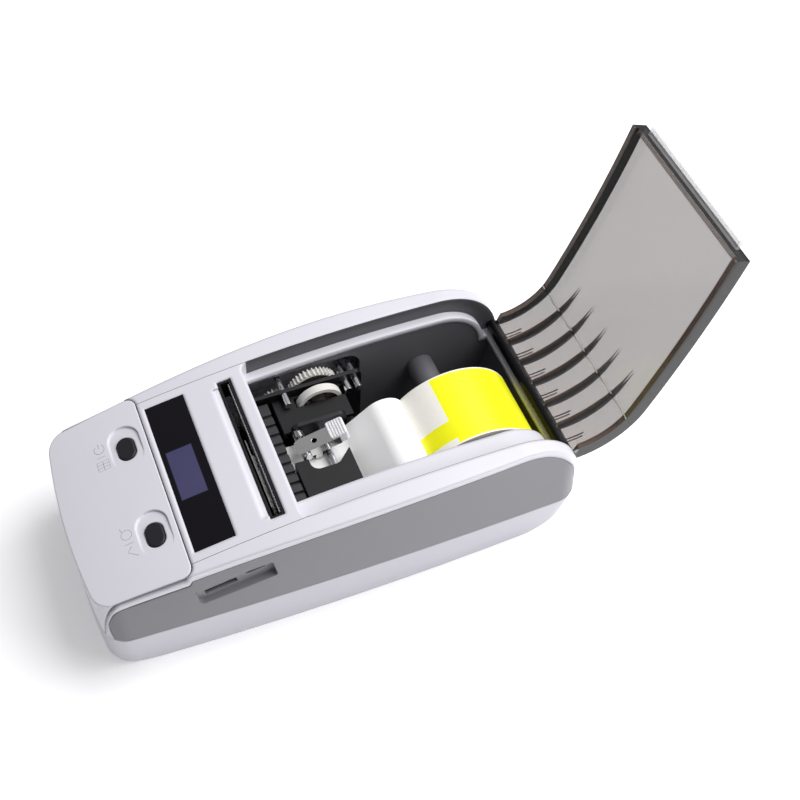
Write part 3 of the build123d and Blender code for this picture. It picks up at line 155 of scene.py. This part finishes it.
def moulded(name, slot, colour, roughness, soft_edge=0.3 * mm, grain=0.02 * mm, mottle=0.03):
    """Moulded plastic: fine grain, faint flow marks and softened edges."""
    finish = Finish(name, slot)
    at, _ = finish.place()
    flow = finish.noise(at, *flow_marks)
    fine = finish.noise(at, grain_scale)
    light = tuple(c * (1 + mottle) for c in colour)
    dark = tuple(c * (1 - mottle) for c in colour)
    finish.feed("Base Color", finish.mix(flow, dark, light))
    finish.feed("Roughness", roughness + (flow - 0.5) * 0.08 + (fine - 0.5) * 0.06)
    finish.relief(fine, grain, soft_edge)
    return finish


def dress(finish, *names):
    """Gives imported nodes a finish."""
    for name in names:
        slots = nodes[name].data.materials
        slots.clear()
        slots.append(finish.material)


# Painted shade: the base takes a darker grey than the top shell's same pale plastic.
base_shaded_colour = (0.50, 0.49, 0.54)
base_white = moulded("base_white", "shell_white", base_shaded_colour, 0.42, soft_edge=1.2 * mm)
dress(base_white, "base_shell")


# Top shell: the same pale plastic, with the lid's recess, the ledges round the bay and the slot.
# Its long upper edges are well rounded. The wall inside the recess is painted dark grey as painted shade,
# and a small dimple is painted a lighter grey as painted shade.
shell_colour = (0.665, 0.655, 0.705)
shell_mottle = 0.03
recess_shade_colour = (0.085, 0.085, 0.095)
dimple_shade_colour = (0.42, 0.42, 0.45)
top_white = moulded("top_white", "shell_white", shell_colour, 0.38, soft_edge=1.8 * mm)
recess_wall_x = 33.54 * mm
dimple_at = (31.3 * mm, 36.6 * mm)
dimple_r = 0.6 * mm
dimple_over_z = 45.0 * mm
wall_band = 0.1 * mm
at, (x, y, z) = top_white.place()
# Painted shade: a thin band at the recess's wall takes the dark grey.
on_shaded_wall = abs(abs(x) - recess_wall_x) < wall_band
from_dimple = (x - dimple_at[0]) * (x - dimple_at[0]) + (y - dimple_at[1]) * (y - dimple_at[1])
# Painted shade: the small dimple on the crown takes a mid grey.
in_dimple = (from_dimple < dimple_r ** 2) * (z > dimple_over_z)
flow = top_white.noise(at, *flow_marks)
dull, light = (tuple(c * (1 + swing) for c in shell_colour) for swing in (-shell_mottle, shell_mottle))
shaded = top_white.mix(in_dimple, top_white.mix(flow, dull, light), dimple_shade_colour)
top_white.feed("Base Color", top_white.mix(on_shaded_wall, shaded, recess_shade_colour))
dress(top_white, "top_shell")


# Side panels: grey strips of moulded plastic let into the flanks, with a satin face and a small
# rounded rim. The near one holds the dish with the two sockets.
panel_colour = (0.190, 0.188, 0.205)
panel_grey = moulded("panel_grey", "panel_grey", panel_colour, 0.36, soft_edge=0.6 * mm)
dress(panel_grey, "left_side_panel", "right_side_panel")


# Front cover: the pale piece over the nose, with a dish round each button and engraved pictograms:
# a power mark and a sheet by one button, a magnifier and a tick by the other, a bar in each pair.
cover_white = moulded("cover_white", "shell_white", shell_colour, 0.36, soft_edge=0.8 * mm)
dress(cover_white, "front_cover")
groove_width = 0.34 * mm
# Painted shade: the engraved grooves are painted dark grey, though they are cut in the white plastic.
groove_shade_dark, groove_shade_pale = (0.20, 0.20, 0.22), (0.27, 0.27, 0.30)
speckle_scale = 900.0
engraved = Finish("engraved_groove", "shell_white", Roughness=0.6)
at, _ = engraved.place()
engraved.feed("Base Color", engraved.mix(engraved.noise(at, speckle_scale), groove_shade_dark, groove_shade_pale))


def on_top(node, x, y, lift):
    """A point above x, y that lies a lift over a node's upper face."""
    above_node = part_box(node)[1][2] + 10 * mm
    _, point, _, _ = nodes[node].ray_cast(Vector((x, y, above_node)), Vector((0, 0, -1)))
    return (point.x, point.y, point.z + lift)


def as_mesh(name, curve):
    """A curve made a mesh whose object sits at the origin."""
    holder = bpy.data.objects.new(name + "_curve", curve)
    bpy.context.scene.collection.objects.link(holder)
    mesh = bpy.data.meshes.new_from_object(holder.evaluated_get(bpy.context.evaluated_depsgraph_get()))
    bpy.data.objects.remove(holder)
    piece = bpy.data.objects.new(name, mesh)
    bpy.context.scene.collection.objects.link(piece)
    return piece


def finished(piece, finish, body, smooth=True):
    """Dresses a new piece and lets it ride on a body."""
    piece.data.materials.clear()
    piece.data.materials.append(finish.material)
    for face in piece.data.polygons:
        face.use_smooth = smooth
    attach(piece, body)


def arc(centre, r, first, last, steps=18):
    """Points of an arc, angles in degrees."""
    turns = [math.radians(first + (last - first) * i / steps) for i in range(steps + 1)]
    return [(centre[0] + r * math.cos(a), centre[1] + r * math.sin(a)) for a in turns]


sheet_x, sheet_y = (-17.0, -13.4), (-70.6, -66.5)
sheet_mid = sum(sheet_y) / 2
groove_sink = 0.42 * groove_width
pictograms = {
    "power_ring": arc((-22.0, -68.5), 1.75, -145, 145),
    "power_bar": [(-24.3, -68.5), (-22.4, -68.5)],
    "left_bar": [(-18.7, -70.0), (-18.7, -67.0)],
    "sheet_edge": [(sheet_x[0], sheet_y[0]), (sheet_x[0], sheet_y[1]), (sheet_x[1], sheet_y[1]),
                   (sheet_x[1], sheet_y[0]), (sheet_x[0], sheet_y[0])],
    "sheet_fold": [(sheet_x[0], sheet_mid), (sheet_x[1], sheet_mid)],
    "sheet_line": [(-15.8, sheet_y[0]), (-15.8, sheet_y[1])],
    "sheet_line_2": [(-14.6, sheet_y[0]), (-14.6, sheet_y[1])],
    "glass_ring": arc((13.7, -68.5), 1.8, 0, 360, 28),
    "glass_handle": [(12.3, -69.6), (10.6, -70.1)],
    "right_bar": [(17.2, -70.0), (17.2, -67.0)],
    "tick": [(18.4, -68.0), (20.2, -69.6), (22.6, -66.6)],
}
for name, line in pictograms.items():
    curve = bpy.data.curves.new(name, "CURVE")
    curve.dimensions = "3D"
    curve.bevel_depth = groove_width / 2
    curve.bevel_resolution = 2
    curve.use_fill_caps = True
    spline = curve.splines.new("POLY")
    spline.points.add(len(line) - 1)
    for point, (x, y) in zip(spline.points, line):
        point.co = (*on_top("front_cover", x * mm, y * mm, -groove_sink), 1.0)
    finished(as_mesh(name, curve), engraved, "body")


# Buttons: two black pill-shaped caps of smooth moulded plastic. They stand a little proud of their
# dishes and are pressed into them.
button_colour = (0.014, 0.013, 0.017)
button_black = moulded("button_black", "button_plastic", button_colour, 0.42, soft_edge=0.5 * mm)
button_black.feed("Specular IOR Level", 0.3)
dress(button_black, "power_button", "query_button")


# Display: a black gloss strip let into the crown, clear only over the small screen beneath it.
# The screen is lit dark violet, and its window has slightly softened edges.
window_half = (10.05 * mm, 4.65 * mm)
window_at = (0.25 * mm, -43.8 * mm)
window_fade = 0.35 * mm
strip_colour = (0.004, 0.003, 0.006)
strip_black = Finish("display_strip", "display_black", Roughness=0.14, Specular_IOR_Level=0.22)
at, (x, y, z) = strip_black.place()
inside_x = (window_half[0] - abs(x - window_at[0])) / window_fade
inside_y = (window_half[1] - abs(y - window_at[1])) / window_fade
nearer = strip_black.maths("MINIMUM", inside_x, inside_y, True)
cloud = strip_black.noise(at, 60.0, 3.0)
lit = strip_black.mix(cloud, (0.050, 0.048, 0.112), (0.066, 0.062, 0.138))
strip_black.feed("Base Color", strip_black.mix(nearer, strip_colour, lit))
screen = moulded("screen_violet", "screen", (0.07, 0.065, 0.14), 0.25)
dress(strip_black, "display_lens")
dress(screen, "oled_module")


# Slot bezel and tear blade: a black frame in the paper slot, and a thin stainless blade with fine
# teeth clamped just inside its rear edge.
slot_black = moulded("slot_black", "black_plastic", (0.009, 0.009, 0.010), 0.42, soft_edge=0.2 * mm)
slot_black.feed("Specular IOR Level", 0.3)
dress(slot_black, "slot_bezel")


line_pitch, line_run = 900.0, 60.0
stain_scale = 90.0
stain_depth = 0.28


def bright_steel(name, slot, colour, roughness, axis=0, soft_edge=0.15 * mm):
    """Turned or rolled metal with fine lines along one axis, and a faint stain."""
    finish = Finish(name, slot, Metallic=1.0)
    at, _ = finish.place()
    stretch = [line_pitch] * 3
    stretch[axis] = line_run
    drawn = finish.node("ShaderNodeMapping", None, {"Vector": at, "Scale": tuple(stretch)})
    lines = finish.noise(drawn, 2.0, 3.0)
    stain_and_shade = finish.noise(at, stain_scale, 3.0)
    dull = tuple(c * (1 - stain_depth) for c in colour)
    finish.feed("Base Color", finish.mix(stain_and_shade, dull, colour))
    finish.feed("Roughness", roughness + (lines - 0.5) * 0.16 + (stain_and_shade - 0.5) * 0.12)
    finish.relief(lines, 0.01 * mm, soft_edge)
    return finish


blade_steel = bright_steel("blade_steel", "steel", (0.62, 0.62, 0.64), 0.28)
dress(blade_steel, "tear_blade")


# Compartment liner: the dark grey tub of the label bay, moulded matt so that the labels stand out
# in it. The spindle that carries the roll is of the same plastic.
liner_colour = (0.130, 0.129, 0.142)
liner_grey = moulded("liner_grey", "liner_grey", liner_colour, 0.55, soft_edge=0.4 * mm, grain=0.03 * mm)
dress(liner_grey, "compartment_liner", "roll_spindle")


# Label roll: yellow labels on pale backing, wound on a board core. The foremost label ends in a
# step, and the backing shows before it; the wound edge of the roll is finely ringed, greyish brown from the
# backing's edges and darker still with painted shade.
roll_low, roll_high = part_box("label_roll")
roll_axis = [(low + high) / 2 for low, high in zip(roll_low, roll_high)]
roll_radius = (roll_high[2] - roll_low[2]) / 2
roll_far, roll_near = roll_low[0], roll_high[0]
label_start_deg = -150.0
label_end_deg = 19.7
tab_end_deg = 48.0
tab_far_x = 12.9 * mm
tab_near_x = 20.3 * mm
edge_show = 0.55 * mm
fibre_scale = 700.0
paper_thick = 0.12 * mm
ring_pitch = 0.55 * mm
label_yellow = Finish("label_yellow", "label_yellow", Specular_IOR_Level=0.35)
at, (x, y, z) = label_yellow.place()
across = roll_axis[1] - y
above = z - roll_axis[2]
turn = label_yellow.maths("ARCTAN2", across, above)
before_end = turn < math.radians(label_end_deg)
behind = turn > math.radians(label_start_deg)
in_tab = (turn < math.radians(tab_end_deg)) * (x > tab_far_x) * (x < tab_near_x)
printed = label_yellow.either(before_end * behind, in_tab)
inside_edge = (x < roll_near - edge_show) * (x > roll_far + edge_show)
distance = label_yellow.maths("SQRT", across * across + above * above)
on_outside = distance > roll_radius - paper_thick
fibre = label_yellow.noise(at, fibre_scale, 3.0)
backing = label_yellow.mix(fibre, (0.90, 0.88, 0.80), (0.97, 0.95, 0.88))
ink = label_yellow.mix(fibre, (0.95, 0.93, 0.005), (1.0, 1.0, 0.012))
rings = label_yellow.maths("SINE", distance * (2 * math.pi / ring_pitch))
# Partly painted shade: the end faces take the backing's greyish brown, darkened for the shade on them.
wound_edge_and_shade = label_yellow.mix(rings * 0.5 + 0.5, (0.33, 0.30, 0.26), (0.47, 0.43, 0.38))
skin = label_yellow.mix(printed * inside_edge, backing, ink)
label_yellow.feed("Base Color", label_yellow.mix(on_outside, wound_edge_and_shade, skin))
label_yellow.feed("Roughness", 0.52 - printed * inside_edge * 0.16 + (fibre - 0.5) * 0.08)
label_yellow.relief(fibre, 0.01 * mm, 0.2 * mm)
dress(label_yellow, "label_roll")

core_board = moulded("core_board", "cardboard", (0.38, 0.29, 0.20), 0.75, grain=0.05 * mm, mottle=0.12)
dress(core_board, "roll_core")
guide_black = moulded("guide_black", "black_plastic", (0.016, 0.016, 0.018), 0.38, soft_edge=0.3 * mm)
dress(guide_black, "roll_guide")


# Label web: the backing paper that comes off the roll in a hump and runs flat under the rod and the
# head. It is smooth, a little wavy, and nearly white.
web_fibre_scale = 650.0
wave_scale = 30.0
web_paper = Finish("web_paper", "paper_white", Specular_IOR_Level=0.3)
at, _ = web_paper.place()
fibre = web_paper.noise(at, web_fibre_scale, 4.0)
wave = web_paper.noise(at, wave_scale, 2.0)
web_paper.feed("Base Color", web_paper.mix(fibre, (0.96, 0.955, 0.95), (1.0, 1.0, 1.0)))
web_paper.feed("Roughness", 0.50 + (fibre - 0.5) * 0.1)
web_paper.relief(wave + fibre * 0.05, 0.25 * mm, 0.1 * mm)
dress(web_paper, "label_web")


# Chassis: three upright plates of blackened steel tied together, with a black cover plate round
# the feed wheel and bright rods across. The near guide block is black plastic.
chassis_colour = (0.055, 0.055, 0.06)
chassis_black = bright_steel("chassis_black", "dark_steel", chassis_colour, 0.42, axis=1)
dress(chassis_black, "mechanism_frame")
dress(slot_black, "cover_plate", "label_guide", "platen_bushes")
rod_steel = bright_steel("rod_steel", "steel", (0.80, 0.80, 0.82), 0.16, axis=0)
dress(rod_steel, "tie_rods", "guide_rod", "gear_pins", "platen_shaft", "motor_shaft", "lever_pin",
      "pinch_pin", "hinge_pins")
copper_shaft = bright_steel("copper_shaft", "steel", (0.86, 0.62, 0.46), 0.2, axis=0)
dress(copper_shaft, "drive_shaft")


# Gears and feed wheel: pale nylon, moulded with fine teeth. The drive gear and the feed wheel have
# their webs inside their pale rims painted dark as painted shade; the motor's pinion is brass.
nylon = moulded("nylon", "gear_white", (0.62, 0.61, 0.58), 0.35, soft_edge=0.15 * mm)
dress(nylon, "platen_gear", "idler_gear", "reduction_gear")
wheel_at = [(low + high) / 2 for low, high in zip(*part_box("feed_wheel"))]
rim_wall = 1.5 * mm
rim_colour = (0.66, 0.65, 0.62)
rim_web_shade_dark, rim_web_shade_pale = (0.030, 0.024, 0.020), (0.060, 0.048, 0.040)
for name in ("drive_gear", "feed_wheel"):
    rimmed = Finish(name + "_rimmed", "gear_white", Roughness=0.4)
    wheel_low, wheel_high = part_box(name)
    rim_r = (wheel_high[2] - wheel_low[2]) / 2 - rim_wall
    at, (x, y, z) = rimmed.place()
    out_y, out_z = y - wheel_at[1], z - wheel_at[2]
    on_rim = out_y * out_y + out_z * out_z > rim_r ** 2
    # Painted shade: the web inside each rim is painted dark, mottled by this noise.
    stain_and_shade = rimmed.noise(at, 160.0, 3.0)
    rimmed.feed("Base Color", rimmed.mix(on_rim, rimmed.mix(stain_and_shade, rim_web_shade_dark, rim_web_shade_pale), rim_colour))
    dress(rimmed, name)
brass = bright_steel("pinion_brass", "brass", (0.80, 0.60, 0.30), 0.25)
dress(brass, "motor_pinion")


# Platen and pads: black rubber, ground round on the platen and on the lever's small roller, and cut
# from sheet for the four pads underneath.
rubber_colour = (0.018, 0.018, 0.019)
rubber = moulded("ground_rubber", "rubber_black", rubber_colour, 0.62, grain=0.05 * mm)
dress(rubber, "platen_roller", "pinch_roller", "rubber_pads")


# Print head: a fired ceramic plate under a black anodised heat sink of aluminium. Two coil springs
# press it down on the platen.
ceramic = moulded("fired_ceramic", "ceramic", (0.55, 0.55, 0.52), 0.45)
dress(ceramic, "print_head")
sink_colour = (0.016, 0.016, 0.018)
anodised = moulded("black_anodised", "aluminium", sink_colour, 0.45, soft_edge=0.15 * mm)
dress(anodised, "heat_sink")
spring_steel = bright_steel("spring_steel", "steel", (0.66, 0.66, 0.67), 0.22)
dress(spring_steel, "head_springs", "lever_spring")


# Head lever: an arm folded from sheet steel and plated with bright nickel. Its white knob is
# moulded, with a top roughened for a thumb.
cell_scale = 1300.0
nickel = bright_steel("lever_nickel", "steel", (0.86, 0.84, 0.82), 0.20, axis=1)
dress(nickel, "head_lever")
knob_white = Finish("knob_white", "gear_white")
at, _ = knob_white.place()
cells = knob_white.node("ShaderNodeTexVoronoi", {"feature": "F1"}, {"Vector": at, "Scale": cell_scale})
knob_white.feed("Base Color", knob_white.mix(cells, (0.72, 0.72, 0.74), (0.92, 0.92, 0.93)))
knob_white.feed("Roughness", 0.3 + cells * 0.2)
knob_white.relief(cells, 0.25 * mm, 0.3 * mm)
dress(knob_white, "lever_knob")


# Board, sockets and switches: a lacquered green board under the crown. The shells of its sockets
# are folded from plated steel, and its two switches are black plastic.
traces_to_the_metre = 180.0
board_green = Finish("board_green", "board_green", Roughness=0.35, Coat_Weight=0.3)
at, _ = board_green.place()
lacquer = {"Color1": (0.02, 0.13, 0.06), "Color2": (0.025, 0.16, 0.07), "Mortar": (0.05, 0.24, 0.11)}
traces = board_green.node("ShaderNodeTexBrick", {"offset": 0.5},
                          {"Vector": at, "Scale": traces_to_the_metre, "Mortar Size": 0.03, **lacquer})
board_green.feed("Base Color", traces)
dress(board_green, "main_board")
dress(rod_steel, "wide_socket", "usb_socket")
dress(slot_black, "tact_switches")


# Motor and battery: a stepper in a plated steel can, screwed to the chassis, and a flat cell pack
# in dark shrink film, laid in the nose.
motor_case = bright_steel("motor_case", "steel", (0.60, 0.60, 0.61), 0.3, axis=0)
dress(motor_case, "stepper_motor")
film = moulded("battery_film", "battery_wrap", (0.05, 0.07, 0.14), 0.22, soft_edge=1.0 * mm)
dress(film, "battery_pack")


# Case screws: four zinc-plated steel screws, sunk in deep holes in the underside. They hold the two
# shells together.
zinc = bright_steel("screw_zinc", "steel", (0.64, 0.65, 0.66), 0.3, axis=2)
dress(zinc, "case_screws")


# Lid: smoked clear plastic. Its flanges, hinge bar and free edge, where one looks through much of it,
# are nearly black; a painted highlight runs along a crease near the hinge, with short stiffening lines
# between the ribs.
hinge_at = (85.4 * mm, 38.0 * mm)
bar_r = 2.7 * mm
crease_r = 24.5 * mm
crease_swing = 1.6 * mm
crease_half = 0.16 * mm
short_line_reach = 9.5 * mm
short_line_half = 0.28 * mm
free_edge = 0.9 * mm
side_facing = 0.6
rib_pitch = 10.3 * mm
edge_colour = (0.003, 0.003, 0.004)
crease_highlight_colour = (0.95, 0.93, 0.91)
skin_alpha, edge_alpha, crease_highlight_alpha = 0.50, 0.46, 0.40
lid_reach = max(math.hypot(v.co.y - hinge_at[0], v.co.z - hinge_at[1]) for v in nodes["lid"].data.vertices)
smoke = Finish("lid_smoke", "smoke_clear", Specular_IOR_Level=0.25)
at, (x, y, z) = smoke.place()
normal = smoke.node("ShaderNodeNewGeometry", output="True Normal")
facing = smoke.node("ShaderNodeSeparateXYZ", None, {0: normal})
off_y, off_z = y - hinge_at[0], z - hinge_at[1]
reach = smoke.maths("SQRT", off_y * off_y + off_z * off_z)
between_ribs = smoke.maths("PINGPONG", x, rib_pitch / 2)
short_line = (abs(between_ribs - rib_pitch / 2) < short_line_half) * (reach < short_line_reach)
edge = smoke.either(abs(facing) > side_facing, short_line)
ends = smoke.either(reach < bar_r, reach > lid_reach - free_edge)
dark = smoke.either(edge, ends)
ragged = smoke.noise(at, 260.0, 3.0)
# Painted highlight: a bright, ragged line along the crease near the hinge.
crease_highlight = abs(reach - crease_r + (ragged - 0.5) * crease_swing) < crease_half
haze = smoke.noise(at, 14.0, 3.0)
tint = smoke.mix(haze, (0.150, 0.088, 0.060), (0.205, 0.132, 0.102))
tint_and_highlight = smoke.mix(crease_highlight, tint, crease_highlight_colour)
smoke.feed("Base Color", smoke.mix(dark, tint_and_highlight, edge_colour))
smoke.feed("Roughness", 0.10 + haze * 0.06)
smoke.feed("Alpha", skin_alpha + dark * edge_alpha + crease_highlight * crease_highlight_alpha)
dress(smoke, "lid")
tongue_dull, tongue_bright = (0.52, 0.50, 0.50), (0.72, 0.70, 0.71)
clear = Finish("tongue_clear", "clear_plastic", Roughness=0.12, Alpha=0.42)
at, _ = clear.place()
clear.feed("Base Color", clear.mix(clear.noise(at, 120.0), tongue_dull, tongue_bright))
dress(clear, "lid_tongue")


# Floor and backdrop: a seamless white table with a faint glow, so that it stays white and takes a
# soft shadow.
floor_half = 3.0
floor_gap = 0.05 * mm
floor_glow = 0.24
floor_mesh = bpy.data.meshes.new("table_top")
shape = bmesh.new()
bmesh.ops.create_grid(shape, x_segments=1, y_segments=1, size=floor_half)
shape.to_mesh(floor_mesh)
shape.free()
table_top = bpy.data.objects.new("table_top", floor_mesh)
bpy.context.scene.collection.objects.link(table_top)
table_top.location.z = -floor_gap
paper_white = Finish("table_white", "paper_white", Roughness=0.9, Specular_IOR_Level=0.0)
paper_white.feed("Base Color", (0.93, 0.93, 0.935))
paper_white.feed("Emission Color", (1.0, 1.0, 1.0))
paper_white.feed("Emission Strength", floor_glow)
floor_mesh.materials.append(paper_white.material)


# Light: a white room that is darker towards the nose, a broad soft lamp overhead towards the tail,
# and a smaller one at the near side of the tail.
room_glow = 0.60
room_dark, room_pale = (0.10, 0.10, 0.11, 1.0), (0.97, 0.975, 1.0, 1.0)
room_fade = {"From Min": -1.0, "From Max": 0.5, "To Min": 0.05, "To Max": 1.0}
world = bpy.data.worlds.new("white_room")
bpy.context.scene.world = world
world.use_nodes = True
tree = world.node_tree
view = tree.nodes.new("ShaderNodeTexCoord").outputs["Generated"]
split = tree.nodes.new("ShaderNodeSeparateXYZ")
tree.links.new(view, split.inputs[0])
ramp = tree.nodes.new("ShaderNodeMapRange")
tree.links.new(split.outputs["Y"], ramp.inputs["Value"])
for socket, value in room_fade.items():
    ramp.inputs[socket].default_value = value
room = tree.nodes.new("ShaderNodeMix")
room.data_type = "RGBA"
tree.links.new(ramp.outputs[0], room.inputs[0])
room.inputs[6].default_value = room_dark
room.inputs[7].default_value = room_pale
tree.links.new(room.outputs[2], tree.nodes["Background"].inputs["Color"])
tree.nodes["Background"].inputs["Strength"].default_value = room_glow


def soft_lamp(name, at, size, watts):
    """A square lamp that faces the printer."""
    light = bpy.data.lights.new(name, "AREA")
    light.size = size
    light.energy = watts
    lamp = bpy.data.objects.new(name, light)
    lamp.location = at
    lamp.rotation_euler = (-Vector(at)).to_track_quat("-Z", "Y").to_euler()
    bpy.context.scene.collection.objects.link(lamp)


soft_lamp("overhead", (-0.05, 0.60, 1.0), 0.9, 12.5)
soft_lamp("tail_side", (0.34, 0.44, 0.40), 0.35, 1.5)
bpy.context.scene.view_settings.view_transform = "Standard"


# Camera: where the photograph was taken from, worked out from the body's own edges. It looks down
# on the near side and the nose, and keeps everything sharp.
camera_at = (228.6 * mm, -78.1 * mm, 400.2 * mm)
camera_turn_deg = (36.302, -2.682, 67.690)
lens_mm = 55.49
camera_data = bpy.data.cameras.new("photo_camera")
camera_data.sensor_width = 36.0
camera_data.lens = lens_mm
camera_data.clip_start = 0.01
camera = bpy.data.objects.new("photo_camera", camera_data)
camera.location = camera_at
camera.rotation_euler = [math.radians(angle) for angle in camera_turn_deg]
bpy.context.scene.collection.objects.link(camera)
bpy.context.scene.camera = camera
